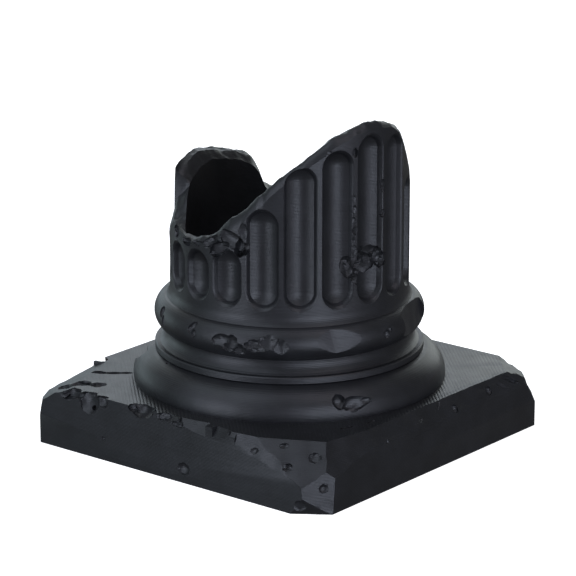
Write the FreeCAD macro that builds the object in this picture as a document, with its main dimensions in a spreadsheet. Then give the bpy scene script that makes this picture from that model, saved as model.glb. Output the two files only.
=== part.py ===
import FreeCAD, Part
import math
import os
import Sketcher

# Miniature ruin for a game table: the broken foot of a fluted column on a square plinth.
# All lengths are millimetres, +Z is up and the origin is the middle of the plinth's underside.

FULL_TURN = 360

doc = FreeCAD.newDocument("terrain_ruin")
sheet = doc.addObject("Spreadsheet::Sheet", "sizes")

# Driving sizes
drivingSizes = (
    ("plinth_side", 50.0, "side of the square plinth"),
    ("plinth_height", 9.1, "underside to top of the plinth"),
    ("lower_torus_foot_radius", 21.95, "where the large ring meets the plinth"),
    ("lower_torus_top_radius", 18.4, "flat top of the large ring"),
    ("lower_torus_height", 4.4, "large ring, foot to top"),
    ("lower_torus_bulge", 1.2, "how far its round stands off the chord"),
    ("fillet_radius", 18.9, "thin band under the hollow moulding"),
    ("fillet_height", 1.0, "thin band, foot to top"),
    ("scotia_foot_radius", 18.2, "hollow moulding, just above the thin band"),
    ("scotia_top_radius", 17.3, "hollow moulding, under the small ring"),
    ("scotia_height", 2.0, "hollow moulding alone"),
    ("scotia_hollow", 0.35, "how far the hollow moulding is drawn in"),
    ("upper_torus_foot_radius", 17.4, "small ring, underside"),
    ("upper_torus_top_radius", 17.5, "small ring, top"),
    ("upper_torus_height", 4.6, "small ring, foot to top"),
    ("upper_torus_bulge", 1.5, "how far its round stands off the chord"),
    ("shaft_radius", 16.75, "column shaft over the ribs"),
    ("shaft_flare", 0.5, "how far the shaft's foot spreads"),
    ("shaft_flare_height", 1.3, "height of that spread"),
    ("shaft_flare_hollow", 0.12, "how far the spread is drawn in"),
    ("flute_count", 20, "flutes round the shaft"),
    ("flute_width", 4.6, "one flute, rib to rib"),
    ("flute_depth", 1.6, "one flute"),
    ("flute_lift", 2.3, "shaft's foot to the lowest point of a flute"),
    ("flute_turn", 9.0, "angle of the first flute from +X"),
    ("spigot_radius", 9.0, "round spigot under each piece"),
    ("spigot_length", 1.5, "that spigot"),
    ("spigot_clearance", 0.15, "radial room round a spigot"),
    ("spigot_gap", 0.3, "room under a spigot"),
    ("rim_low", 30.0, "lowest point of the broken rim over the underside"),
    ("horn_top", 39.2, "top of the standing shard at the back"),
    ("rim_peak", 48.5, "highest point of the ruin"),
    ("rim_drop", 2.0, "how far the break falls from inner to outer edge"),
    ("core_height", 33.0, "middle of the broken core"),
    ("hollow_radius", 14.3, "inside of the shaft's wall"),
    ("pit_floor", 25.0, "floor of the pit in the core"),
    ("pit_foot", 6.5, "axis to where the floor starts to climb"),
    ("pit_head", 1.5, "axis to the top of that climb"),
    ("ramp_height", 32.0, "top of that climb over the underside"),
    ("ramp_end", 34.0, "height of the core at the tall wall"),
    ("pit_turn", 19.0, "angle from +X that the core climbs towards"),
    ("front_foot_left", 5.7, "front corner lost along the left face, at the foot"),
    ("front_foot_right", 4.4, "front corner lost along the right face, at the foot"),
    ("front_nose_left", 2.1, "the same, left face, at the nose"),
    ("front_nose_right", 3.1, "the same, right face, at the nose"),
    ("front_nose_height", 2.8, "nose of the front corner over the underside"),
    ("front_head_left", 3.4, "the same, left face, at the top"),
    ("front_head_right", 5.2, "the same, right face, at the top"),
    ("slab_length", 11.5, "big facet of the front corner, along the left face"),
    ("slab_drop", 0.8, "where that facet starts under the top"),
    ("slab_run_x", 5.6, "its reach over the top, from the right face"),
    ("slab_run_y", 3.8, "its reach over the top, from the left face"),
    ("edge_foot", 3.8, "right face chip, under the top near the front corner"),
    ("edge_head", 1.7, "right face chip, under the top at its far end"),
    ("edge_length", 13.4, "right face chip, from the front corner"),
    ("edge_setback", 2.2, "right face chip, over the top"),
    ("left_drop", 2.0, "left corner, lost height"),
    ("left_run_front", 11.5, "left corner, along the left face"),
    ("left_run_back", 13.4, "left corner, along the back face"),
    ("right_foot", 3.0, "right corner, whole up to this height"),
    ("right_run", 3.6, "right corner, lost along each face at the top"),
    ("worn_drop", 1.2, "worn top edge of the right face, height"),
    ("worn_setback", 1.3, "worn top edge of the right face, depth"),
    ("foot_chip_turn", -156.0, "angle of the flat chip on the large ring"),
    ("foot_chip_lean", 35.0, "lean of that chip from upright"),
    ("foot_chip_depth", 1.3, "that chip, inside the ring's foot"),
    ("ring_chip_turn", 22.0, "angle of the flat chip on the small ring"),
    ("ring_chip_lean", 12.0, "lean of that chip from upright"),
    ("ring_chip_depth", 0.9, "that chip, under the ring's widest line"),
)
for row, (name, value, note) in enumerate(drivingSizes, start=1):
    sheet.set("A%d" % row, note)
    sheet.set("B%d" % row, str(value))
    sheet.setAlias("B%d" % row, name)

# Heights and radii that follow from them
followingSizes = (
    ("half_side", "=plinth_side / 2"),
    ("lower_torus_top", "=plinth_height + lower_torus_height"),
    ("fillet_top", "=lower_torus_top + fillet_height"),
    ("scotia_top", "=fillet_top + scotia_height"),
    ("upper_torus_top", "=scotia_top + upper_torus_height"),
    ("shaft_foot_radius", "=shaft_radius + shaft_flare"),
    ("shaft_flare_top", "=upper_torus_top + shaft_flare_height"),
    ("blank_top", "=rim_peak + rim_drop"),
    ("socket_radius", "=spigot_radius + spigot_clearance"),
    ("socket_depth", "=spigot_length + spigot_gap"),
    ("plinth_socket", "=plinth_height - socket_depth"),
    ("lower_torus_spigot", "=plinth_height - spigot_length"),
    ("lower_torus_socket", "=lower_torus_top - socket_depth"),
    ("scotia_spigot", "=lower_torus_top - spigot_length"),
    ("scotia_socket", "=scotia_top - socket_depth"),
    ("upper_torus_spigot", "=scotia_top - spigot_length"),
    ("upper_torus_socket", "=upper_torus_top - socket_depth"),
    ("shaft_spigot", "=upper_torus_top - spigot_length"),
    ("flute_round", "=((flute_width / 2) ^ 2 + flute_depth ^ 2) / (2 * flute_depth)"),
    ("flute_axis", "=shaft_radius - flute_depth + flute_round"),
    ("flute_outside", "=flute_axis + flute_round"),
    ("flute_ball", "=upper_torus_top + flute_lift + flute_width / 2"),
    ("flute_lowest", "=flute_ball - flute_round"),
    ("flute_bow", "=flute_round * (1 - sqrt(0.5))"),
    ("pit_reach", "=hollow_radius + 1"),
)
for row, (name, rule) in enumerate(followingSizes, start=len(drivingSizes) + 2):
    sheet.set("B%d" % row, rule)
    sheet.setAlias("B%d" % row, name)
doc.recompute()


def size(name):
    return float(sheet.get(name))


def place(name):
    """A corner's coordinate: a named size, its negative, or None on the axis."""
    if name is None:
        return 0.0
    return -size(name[1:]) if name.startswith("-") else size(name)


def boundTo(name):
    """The same coordinate as an expression on the sheet."""
    if name is None:
        return "0"
    return "-sizes." + name[1:] if name.startswith("-") else "sizes." + name


def originFeature(body, role):
    return [item for item in body.Origin.OriginFeatures if item.Role == role][0]


def endsInOrder(sketch, edge, start):
    """Numbers of an edge's two ends, the one at the given start first."""
    if sketch.getPoint(edge, 1).distanceToPoint(start) < 1e-6:
        return 1, 2
    return 2, 1


def bindCorner(sketch, edge, end, across, up):
    """Tie one end of an edge to its named distance across and its named height."""
    if across is None:
        sketch.addConstraint(Sketcher.Constraint("PointOnObject", edge, end, -2))
    else:
        index = sketch.addConstraint(
            Sketcher.Constraint("DistanceX", -1, 1, edge, end, place(across)))
        sketch.setExpression("Constraints[%d]" % index, boundTo(across))
    index = sketch.addConstraint(Sketcher.Constraint("DistanceY", -1, 1, edge, end, place(up)))
    sketch.setExpression("Constraints[%d]" % index, boundTo(up))


def bindBow(sketch, edge, here, after):
    """Tie an arc's radius to its named bulge off the chord."""
    bulge = "sizes." + here[2].lstrip("-")
    chord = "((%s - %s) ^ 2 + (%s - %s) ^ 2)" % (
        boundTo(after[0]), boundTo(here[0]), boundTo(after[1]), boundTo(here[1]))
    index = sketch.addConstraint(
        Sketcher.Constraint("Radius", edge, sketch.Geometry[edge].Radius))
    sketch.setExpression("Constraints[%d]" % index, "%s / (8 * %s) + %s / 2" % (chord, bulge, bulge))


def drawOutline(sketch, corners):
    """A closed outline, counter-clockwise. A third entry bows the edge that leaves the corner."""
    edges = []
    for here, after in zip(corners, corners[1:] + corners[:1]):
        start = FreeCAD.Vector(place(here[0]), place(here[1]), 0)
        end = FreeCAD.Vector(place(after[0]), place(after[1]), 0)
        if len(here) == 3:
            chord = end - start
            outward = FreeCAD.Vector(chord.y, -chord.x, 0).normalize()
            edge = sketch.addGeometry(Part.Arc(start, (start + end) / 2 + outward * place(here[2]), end))
        else:
            edge = sketch.addGeometry(Part.LineSegment(start, end))
        edges.append((edge, endsInOrder(sketch, edge, start)))
    for (edge, order), (after, afterOrder) in zip(edges, edges[1:] + edges[:1]):
        sketch.addConstraint(Sketcher.Constraint("Coincident", edge, order[1], after, afterOrder[0]))
    for (edge, order), here, after in zip(edges, corners, corners[1:] + corners[:1]):
        bindCorner(sketch, edge, order[0], here[0], here[1])
        if len(here) == 3:
            bindBow(sketch, edge, here, after)


def newBody(label):
    body = doc.addObject("PartDesign::Body", label)
    body.Label = label
    return body


def uprightSketch(body, name, corners):
    sketch = body.newObject("Sketcher::SketchObject", name)
    sketch.AttachmentSupport = [(originFeature(body, "XZ_Plane"), "")]
    sketch.MapMode = "FlatFace"
    drawOutline(sketch, corners)
    return sketch


def turnedBody(label, corners):
    """A piece turned about the column's axis from its half outline."""
    body = newBody(label)
    sketch = uprightSketch(body, label + "_outline", corners)
    turned = body.newObject("PartDesign::Revolution", label + "_turned")
    turned.Profile = sketch
    turned.ReferenceAxis = (sketch, ["V_Axis"])
    turned.Angle = FULL_TURN
    sketch.Visibility = False
    doc.recompute()
    return body


def shapeFeature(label, shape):
    feature = doc.addObject("Part::Feature", label)
    feature.Label = label
    feature.Shape = shape
    return feature


def boolean(kind, label, base, tool):
    feature = doc.addObject(kind, label)
    feature.Label = label
    feature.Base = base
    feature.Tool = tool
    return feature


def breakFacet(label, corners):
    """Everything outside the plane through three points, as a block to cut away."""
    first, second, third = [FreeCAD.Vector(*corner) for corner in corners]
    normal = (second - first).cross(third - first).normalize()
    middle = FreeCAD.Vector(0, 0, size("plinth_height") / 2)
    if normal.dot(first - middle) < 0:
        normal = -normal
    reach = 2 * size("plinth_side")
    block = Part.makeBox(reach, reach, reach, FreeCAD.Vector(-reach / 2, -reach / 2, 0))
    block.Placement = FreeCAD.Placement(first, FreeCAD.Rotation(FreeCAD.Vector(0, 0, 1), normal))
    return shapeFeature(label, block)


def fuseCutters(label, cutters):
    feature = doc.addObject("Part::MultiFuse", label)
    feature.Label = label
    feature.Shapes = cutters
    return feature


# Plinth: a square block with a round socket in its top and broken corners
def makePlinth():
    block = doc.addObject("Part::Box", "plinth_block")
    block.setExpression("Length", "sizes.plinth_side")
    block.setExpression("Width", "sizes.plinth_side")
    block.setExpression("Height", "sizes.plinth_height")
    block.setExpression("Placement.Base.x", "-sizes.half_side")
    block.setExpression("Placement.Base.y", "-sizes.half_side")
    socket = doc.addObject("Part::Cylinder", "plinth_socket_bore")
    socket.setExpression("Radius", "sizes.socket_radius")
    socket.setExpression("Height", "sizes.plinth_height")
    socket.setExpression("Placement.Base.z", "sizes.plinth_socket")
    half = size("half_side")
    top = size("plinth_height")
    nose = size("front_nose_height")
    noseLeft = (half - size("front_nose_left"), -half, nose)
    noseRight = (half, -half + size("front_nose_right"), nose)
    facets = [
        breakFacet("front_slab", (
            (half - size("slab_length"), -half, top - size("slab_drop")),
            noseLeft,
            (half - size("slab_run_x"), -half + size("slab_run_y"), top))),
        breakFacet("front_foot", (
            (half - size("front_foot_left"), -half, 0),
            (half, -half + size("front_foot_right"), 0),
            noseLeft)),
        breakFacet("front_head", (
            noseLeft,
            noseRight,
            (half - size("front_head_left") / 2, -half + size("front_head_right") / 2, top))),
        breakFacet("right_edge_chip", (
            (half, -half + size("front_head_right"), top - size("edge_foot")),
            (half, -half + size("edge_length"), top - size("edge_head")),
            (half - size("edge_setback"), -half + size("front_head_right"), top))),
        breakFacet("right_edge_wear", (
            (half, -half, top - size("worn_drop")),
            (half, half, top - size("worn_drop")),
            (half - size("worn_setback"), 0, top))),
        breakFacet("left_corner_break", (
            (-half, -half, top - size("left_drop")),
            (-half + size("left_run_front"), -half, top),
            (-half, -half + size("left_run_back"), top))),
        breakFacet("right_corner_break", (
            (half, half, size("right_foot")),
            (half - size("right_run"), half, top),
            (half, half - size("right_run"), top))),
    ]
    cutters = fuseCutters("plinth_losses", facets + [socket])
    return boolean("Part::Cut", "plinth", block, cutters)


def ringFacet(label, turn, lean, radius, height):
    """A flat chip on a ring: its plane faces outward at an angle, leaning up or down."""
    turn, lean = math.radians(turn), math.radians(lean)
    along = FreeCAD.Vector(-math.sin(turn), math.cos(turn), 0)
    climb = FreeCAD.Vector(
        -math.cos(turn) * math.sin(lean), -math.sin(turn) * math.sin(lean), math.cos(lean))
    start = FreeCAD.Vector(radius * math.cos(turn), radius * math.sin(turn), height)
    return breakFacet(label, (start, start + along, start + climb))


# Lower torus: the large rounded ring that lies on the plinth
def makeLowerTorus():
    ring = turnedBody("lower_torus_ring", [
        (None, "lower_torus_spigot"),
        ("spigot_radius", "lower_torus_spigot"),
        ("spigot_radius", "plinth_height"),
        ("lower_torus_foot_radius", "plinth_height", "lower_torus_bulge"),
        ("lower_torus_top_radius", "lower_torus_top"),
        ("socket_radius", "lower_torus_top"),
        ("socket_radius", "lower_torus_socket"),
        (None, "lower_torus_socket")])
    chip = ringFacet(
        "lower_torus_chip", size("foot_chip_turn"), size("foot_chip_lean"),
        size("lower_torus_foot_radius") - size("foot_chip_depth"),
        size("plinth_height") + size("lower_torus_height") / 2)
    return boolean("Part::Cut", "lower_torus", ring, chip)


# Scotia: the hollow moulding between the rings, with the thin band at its foot
def makeScotia():
    return turnedBody("scotia", [
        (None, "scotia_spigot"),
        ("spigot_radius", "scotia_spigot"),
        ("spigot_radius", "lower_torus_top"),
        ("fillet_radius", "lower_torus_top"),
        ("fillet_radius", "fillet_top"),
        ("scotia_foot_radius", "fillet_top", "-scotia_hollow"),
        ("scotia_top_radius", "scotia_top"),
        ("socket_radius", "scotia_top"),
        ("socket_radius", "scotia_socket"),
        (None, "scotia_socket")])


# Upper torus: the smaller rounded ring, with one flat chip on its right
def makeUpperTorus():
    ring = turnedBody("upper_torus_ring", [
        (None, "upper_torus_spigot"),
        ("spigot_radius", "upper_torus_spigot"),
        ("spigot_radius", "scotia_top"),
        ("upper_torus_foot_radius", "scotia_top", "upper_torus_bulge"),
        ("upper_torus_top_radius", "upper_torus_top"),
        ("socket_radius", "upper_torus_top"),
        ("socket_radius", "upper_torus_socket"),
        (None, "upper_torus_socket")])
    chip = ringFacet(
        "upper_torus_chip", size("ring_chip_turn"), -size("ring_chip_lean"),
        size("upper_torus_foot_radius") + size("upper_torus_bulge") - size("ring_chip_depth"),
        size("scotia_top") + size("upper_torus_height") / 2)
    return boolean("Part::Cut", "upper_torus", ring, chip)


# Broken rim: angle from +X, the level that it is measured against, and its share of that level
rimStations = (
    (-128, "rim_peak", 0.08), (-114, "rim_peak", 0.13), (-107, "rim_peak", 0.08),
    (-94, "rim_peak", 0.14), (-83, "rim_peak", 0.21), (-72, "rim_peak", 0.39),
    (-65, "rim_peak", 0.52), (-57, "rim_peak", 0.62), (-45, "rim_peak", 0.74),
    (-32, "rim_peak", 0.885), (-24, "rim_peak", 0.94), (-9, "rim_peak", 1.0),
    (7, "rim_peak", 0.94), (19, "rim_peak", 0.86), (31, "rim_peak", 0.6),
    (39, "rim_peak", 0.42), (53, "rim_peak", 0.24), (75, "rim_peak", 0.15),
    (110, "rim_peak", 0.1), (138, "rim_peak", 0.11), (143, "horn_top", 0.3),
    (148, "horn_top", 0.72), (153, "horn_top", 0.84), (164, "horn_top", 0.92),
    (181, "horn_top", 1.0), (194, "horn_top", 0.93), (201, "horn_top", 0.86),
    (204.5, "horn_top", 0.24), (219, "horn_top", 0.0),
)


def rimRing(radius, fall):
    """The rim's line at one radius. The break falls outward all round but on the shard."""
    points = []
    for angle, level, share in rimStations:
        height = size("rim_low") + share * (size(level) - size("rim_low"))
        if level == "rim_peak":
            height -= fall
        turn = math.radians(angle)
        points.append(FreeCAD.Vector(radius * math.cos(turn), radius * math.sin(turn), height))
    return points


def facet(*points):
    return Part.Face(Part.makePolygon(list(points) + [points[0]]))


def brokenEnvelope():
    """What is left of the column: a block whose top is the broken rim."""
    wall = size("shaft_radius") - size("hollow_radius")
    inner = rimRing(size("hollow_radius"), 0)
    outer = rimRing(size("shaft_radius") + wall, 2 * size("rim_drop"))
    foot = [FreeCAD.Vector(point.x, point.y, size("plinth_height")) for point in outer]
    core = FreeCAD.Vector(0, 0, size("core_height"))
    faces = [facet(*reversed(foot))]
    for now in range(len(rimStations)):
        after = (now + 1) % len(rimStations)
        faces.append(facet(core, inner[now], inner[after]))
        faces.append(facet(inner[now], outer[now], outer[after]))
        faces.append(facet(inner[now], outer[after], inner[after]))
        faces.append(facet(outer[now], foot[now], foot[after], outer[after]))
    shell = Part.makeShell(faces)
    solid = Part.makeSolid(shell)
    if solid.Volume < 0:
        solid.reverse()
    return solid


def turnAboutAxis(feature, name):
    feature.Placement = FreeCAD.Placement(
        FreeCAD.Vector(0, 0, 0), FreeCAD.Rotation(FreeCAD.Vector(0, 0, 1), size(name)))


# Fluted shaft: round-ended flutes, a broken rim and a pit in its core
def makeShaft():
    body = turnedBody("shaft_column", [
        (None, "shaft_spigot"),
        ("spigot_radius", "shaft_spigot"),
        ("spigot_radius", "upper_torus_top"),
        ("shaft_foot_radius", "upper_torus_top", "-shaft_flare_hollow"),
        ("shaft_radius", "shaft_flare_top"),
        ("shaft_radius", "blank_top"),
        (None, "blank_top")])
    sketch = uprightSketch(body, "flute_outline", [
        ("flute_axis", "flute_lowest", "flute_bow"),
        ("flute_outside", "flute_ball"),
        ("flute_outside", "blank_top"),
        ("flute_axis", "blank_top")])
    foot = FreeCAD.Vector(size("flute_axis"), size("flute_lowest"), 0)
    head = FreeCAD.Vector(size("flute_axis"), size("blank_top"), 0)
    middleLine = sketch.addGeometry(Part.LineSegment(foot, head), True)
    sketch.addConstraint(Sketcher.Constraint("Coincident", middleLine, 1, 3, 2))
    sketch.addConstraint(Sketcher.Constraint("Coincident", middleLine, 2, 3, 1))
    flute = body.newObject("PartDesign::Groove", "flute")
    flute.Profile = sketch
    flute.ReferenceAxis = (sketch, ["Axis0"])
    flute.Angle = FULL_TURN
    sketch.Visibility = False
    doc.recompute()
    flutes = body.newObject("PartDesign::PolarPattern", "flutes")
    flutes.Originals = [flute]
    flutes.Axis = (originFeature(body, "Z_Axis"), [""])
    flutes.Angle = FULL_TURN
    flutes.setExpression("Occurrences", "sizes.flute_count")
    body.Tip = flutes
    turnAboutAxis(body, "flute_turn")
    doc.recompute()

    envelope = shapeFeature("broken_envelope", brokenEnvelope())
    broken = boolean("Part::Common", "broken_column", body, envelope)

    pit = newBody("pit")
    outline = uprightSketch(pit, "pit_outline", [
        ("-pit_reach", "pit_floor"),
        ("-pit_foot", "pit_floor"),
        ("pit_head", "ramp_height"),
        ("pit_reach", "ramp_end"),
        ("pit_reach", "blank_top"),
        ("-pit_reach", "blank_top")])
    pad = pit.newObject("PartDesign::Pad", "pit_pad")
    pad.Profile = outline
    pad.SideType = "Symmetric"
    pad.setExpression("Length", "2 * sizes.pit_reach")
    outline.Visibility = False
    turnAboutAxis(pit, "pit_turn")
    wall = doc.addObject("Part::Cylinder", "hollow_bore")
    wall.setExpression("Radius", "sizes.hollow_radius")
    wall.setExpression("Height", "sizes.blank_top")
    hollow = boolean("Part::Common", "hollow", pit, wall)
    return boolean("Part::Cut", "fluted_shaft", broken, hollow)


pieces = [makePlinth(), makeLowerTorus(), makeScotia(), makeUpperTorus(), makeShaft()]
doc.recompute()

for item in doc.Objects:
    if "Invalid" in item.State or "Error" in item.State:
        raise RuntimeError("%s did not build" % item.Label)

os.makedirs("parts", exist_ok=True)
for piece in pieces:
    shape = piece.Shape
    if shape.isNull() or not shape.isValid() or len(shape.Solids) != 1:
        raise RuntimeError("%s is not one valid solid" % piece.Label)
    shape.exportStep(os.path.join("parts", piece.Label + ".step"))
    box = shape.BoundBox
    print("%-14s volume %9.1f mm3, height %6.2f to %6.2f, width %6.2f" % (
        piece.Label, shape.Volume, box.ZMin, box.ZMax, box.XLength))
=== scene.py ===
import bpy
import math
from mathutils import Matrix, Vector, noise


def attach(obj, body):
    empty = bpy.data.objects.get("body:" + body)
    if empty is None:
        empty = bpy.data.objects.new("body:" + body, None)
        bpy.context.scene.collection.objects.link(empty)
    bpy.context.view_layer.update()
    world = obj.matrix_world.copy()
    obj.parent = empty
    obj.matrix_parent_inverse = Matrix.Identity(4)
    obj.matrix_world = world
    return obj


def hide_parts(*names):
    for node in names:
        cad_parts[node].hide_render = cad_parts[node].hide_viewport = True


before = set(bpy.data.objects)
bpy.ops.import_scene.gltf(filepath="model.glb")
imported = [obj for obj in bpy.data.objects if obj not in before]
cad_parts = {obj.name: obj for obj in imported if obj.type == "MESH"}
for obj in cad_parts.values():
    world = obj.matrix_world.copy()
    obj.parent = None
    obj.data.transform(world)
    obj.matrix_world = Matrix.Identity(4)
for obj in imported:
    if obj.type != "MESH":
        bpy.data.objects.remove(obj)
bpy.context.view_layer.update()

# Broken foot of a fluted column on a chipped plinth, printed in black plastic.
# Sizes in the dictionaries are in millimetres, and finishPiece() makes them metres.
mm = 0.001


# small helpers
def deselectAll():
    if bpy.context.object and bpy.context.object.mode != "OBJECT":
        bpy.ops.object.mode_set(mode="OBJECT")
    bpy.ops.object.select_all(action="DESELECT")


def makeActive(thing):
    deselectAll()
    thing.select_set(True)
    bpy.context.view_layer.objects.active = thing


def applyPlace(thing):
    makeActive(thing)
    bpy.ops.object.transform_apply(location=True, rotation=True, scale=True)


def bow(start, end, bulge, steps):
    # points of a round arc from start to end, whose middle stands out by bulge
    ax, ay = start
    bx, by = end
    dx, dy = bx - ax, by - ay
    chord = math.hypot(dx, dy)
    points = []
    for step in range(steps + 1):
        share = step / steps
        lift = 4 * bulge * share * (1 - share)
        if abs(bulge) > 0.01 * chord:
            radius = (chord * chord / 4 + bulge * bulge) / (2 * abs(bulge))
            along = (share - 0.5) * chord
            lift = math.sqrt(radius * radius - along * along) - (radius - abs(bulge))
            lift = math.copysign(lift, bulge)
        points.append((ax + dx * share + lift * dy / chord, ay + dy * share - lift * dx / chord))
    return points


def turnedPiece(name, stations, segments):
    # a disc drawn up through rings of the given radius and height, like work on a lathe
    deselectAll()
    radius, height = stations[0]
    bpy.ops.mesh.primitive_circle_add(vertices=segments, radius=radius, fill_type="NGON")
    piece = bpy.context.object
    piece.name = piece.data.name = name
    piece.location.z = height
    applyPlace(piece)
    bpy.ops.object.mode_set(mode="EDIT")
    bpy.ops.mesh.select_all(action="SELECT")
    for lower, upper in zip(stations, stations[1:]):
        bpy.ops.mesh.extrude_region_move(TRANSFORM_OT_translate={"value": (0, 0, upper[1] - lower[1])})
        widen = upper[0] / lower[0]
        bpy.ops.transform.resize(value=(widen, widen, 1), center_override=(0, 0, 0))
    bpy.ops.mesh.select_all(action="SELECT")
    bpy.ops.mesh.normals_make_consistent(inside=False)
    bpy.ops.object.mode_set(mode="OBJECT")
    return piece


def joinAll(parts, name):
    deselectAll()
    for part in parts:
        part.select_set(True)
    bpy.context.view_layer.objects.active = parts[0]
    if len(parts) > 1:
        bpy.ops.object.join()
    joined = bpy.context.object
    joined.name = name
    return joined


def cutAway(piece, cutter, selfCross=True):
    # takes the cutter out of the piece, then removes the cutter
    makeActive(piece)
    cut = piece.modifiers.new("cut", "BOOLEAN")
    cut.operation = "DIFFERENCE"
    cut.solver = "EXACT"
    cut.use_self = selfCross
    cut.object = cutter
    bpy.ops.object.modifier_apply(modifier=cut.name)
    bpy.data.objects.remove(cutter)


def copyOf(thing):
    twin = thing.copy()
    twin.data = thing.data.copy()
    bpy.context.scene.collection.objects.link(twin)
    return twin


# stones: how their lumps are drawn, and the reach from which they get a second, finer round
stoneShape = {"uniform": 0.3, "alongNormal": 0.7, "fineFrom": 0.9, "fineShare": 0.55}


def roughen(amount, seed):
    bpy.ops.transform.vertex_random(
        offset=amount, uniform=stoneShape["uniform"], normal=stoneShape["alongNormal"], seed=seed,
    )


def facingMatrix(out, side):
    return Matrix((side, out.cross(side), out)).transposed().to_4x4()


def stoneCutter(place, reach, lookTo, turn, rough, seed):
    # a lumpy stone that bites a chip: reach is half its width, height and depth, depth along lookTo
    deselectAll()
    bpy.ops.mesh.primitive_ico_sphere_add(subdivisions=2, radius=1)
    stone = bpy.context.object
    bpy.ops.object.mode_set(mode="EDIT")
    bpy.ops.mesh.select_all(action="SELECT")
    roughen(rough, seed)
    if max(reach) > stoneShape["fineFrom"]:
        bpy.ops.mesh.subdivide(number_cuts=1)
        roughen(rough * stoneShape["fineShare"], seed + 1)
    bpy.ops.object.mode_set(mode="OBJECT")
    out = Vector(lookTo).normalized()
    side = Vector((0, 0, 1)).cross(out)
    side = side.normalized() if side.length > 0.01 else Vector((1, 0, 0))
    turned = facingMatrix(out, side) @ Matrix.Rotation(math.radians(turn), 4, "Z")
    stone.matrix_world = Matrix.Translation(place) @ turned @ Matrix.Diagonal((*reach, 1))
    applyPlace(stone)
    return stone


# skin of the broken faces: how thick their cutter is, and scale and share of its lumps
breakSkin = {"thick": 6, "coarseScale": 0.55, "fineScale": 1.6, "fineShare": 0.45, "seedShift": (7.3, 3.1, 1.7)}


def roughSlab(corner, facing, width, height, lumps, seed, cuts):
    # a thick slab whose rough front lies on a broken face and takes off all that stands before it
    deselectAll()
    bpy.ops.mesh.primitive_cube_add(size=1)
    slab = bpy.context.object
    slab.matrix_world = Matrix.Diagonal((width, height, breakSkin["thick"], 1)) @ Matrix.Translation((0, 0, 0.5))
    applyPlace(slab)
    bpy.ops.object.mode_set(mode="EDIT")
    bpy.ops.mesh.select_all(action="SELECT")
    bpy.ops.mesh.subdivide(number_cuts=cuts)
    bpy.ops.object.mode_set(mode="OBJECT")
    shift = Vector([seed * part for part in breakSkin["seedShift"]])
    for vertex in slab.data.vertices:
        if vertex.co.z < breakSkin["thick"] / 2:
            coarse = noise.noise(vertex.co * breakSkin["coarseScale"] + shift)
            fine = noise.noise(vertex.co * breakSkin["fineScale"] + shift)
            vertex.co.z += lumps * (coarse + breakSkin["fineShare"] * fine)
    out = Vector(facing).normalized()
    side = Vector((0, 0, 1)).cross(out).normalized()
    slab.matrix_world = Matrix.Translation(corner) @ facingMatrix(out, side)
    applyPlace(slab)
    return slab


def planeThrough(first, second, third):
    # middle of three points and the direction that their plane faces, away from the axis
    a, b, c = Vector(first), Vector(second), Vector(third)
    facing = (b - a).cross(c - a).normalized()
    middle = (a + b + c) / 3
    if facing.dot(Vector((middle.x, middle.y, 0))) < 0:
        facing = -facing
    return middle, facing


weldGap = 0.004      # points nearer than this become one


def finishPiece(piece, node, material, smoothAngle):
    # welds stray points, brings the piece to metres, smooths it and hands it over for its node
    makeActive(piece)
    bpy.ops.object.mode_set(mode="EDIT")
    bpy.ops.mesh.select_all(action="SELECT")
    bpy.ops.mesh.remove_doubles(threshold=weldGap)
    bpy.ops.mesh.dissolve_degenerate(threshold=weldGap)
    bpy.ops.object.mode_set(mode="OBJECT")
    piece.scale = (mm, mm, mm)
    applyPlace(piece)
    bpy.ops.object.shade_smooth_by_angle(angle=math.radians(smoothAngle))
    piece.data.materials.clear()
    piece.data.materials.append(material)
    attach(piece, "root")
    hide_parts(node)
    print(piece.name, len(piece.data.vertices), "points", len(piece.data.polygons), "faces")


# camera
view = {
    "place": (0.27038, -0.33361, 0.15031),
    "tilt": 73.31,
    "swing": 39.05,
    "lens": 199.875, "sensor": 36, "nearest": 0.01,
}
lookAngles = (math.radians(view["tilt"]), 0, math.radians(view["swing"]))
bpy.ops.object.camera_add(location=view["place"], rotation=lookAngles)
camera = bpy.context.object
camera.name = "photo_camera"
camera.data.lens = view["lens"]
camera.data.sensor_width = view["sensor"]
camera.data.clip_start = view["nearest"]
bpy.context.scene.camera = camera
print("camera set")


# black printed plastic
plastic = {
    "base": (0.0115, 0.0122, 0.0138),
    "darkest": 0.8, "lightest": 1.25,       # the base goes between these shares of itself
    "roughness": 0.4, "glossier": 0.05, "duller": 0.07,
    "refraction": 1.5,
    "layer": 0.2,       # height of one printed layer
    "layerWander": 0.25, "layerEdge": 0.6, "layerUneven": 0.9,
    "line": 0.47,       # width of one printed line on the plinth's top
    "lineTurn": 45, "flatFrom": 0.995,
    # strength and distance in metres
    "layerBump": (0.55, 0.00003), "dentBump": (0.25, 0.00006), "lineBump": (0.5, 0.00006),
}


def mathNode(tree, operation, first, second=None):
    made = tree.nodes.new("ShaderNodeMath")
    made.operation = operation
    for slot, value in enumerate((first, second)):
        if value is None:
            continue
        if isinstance(value, (int, float)):
            made.inputs[slot].default_value = value
        else:
            tree.links.new(value, made.inputs[slot])
    return made.outputs[0]


def noiseAt(tree, coordinates, scale, detail, stretch=None):
    made = tree.nodes.new("ShaderNodeTexNoise")
    made.inputs["Scale"].default_value = scale
    made.inputs["Detail"].default_value = detail
    if stretch:
        mapping = tree.nodes.new("ShaderNodeMapping")
        mapping.inputs["Scale"].default_value = stretch
        tree.links.new(coordinates, mapping.inputs["Vector"])
        coordinates = mapping.outputs[0]
    tree.links.new(coordinates, made.inputs["Vector"])
    return made.outputs["Fac"]


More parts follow.
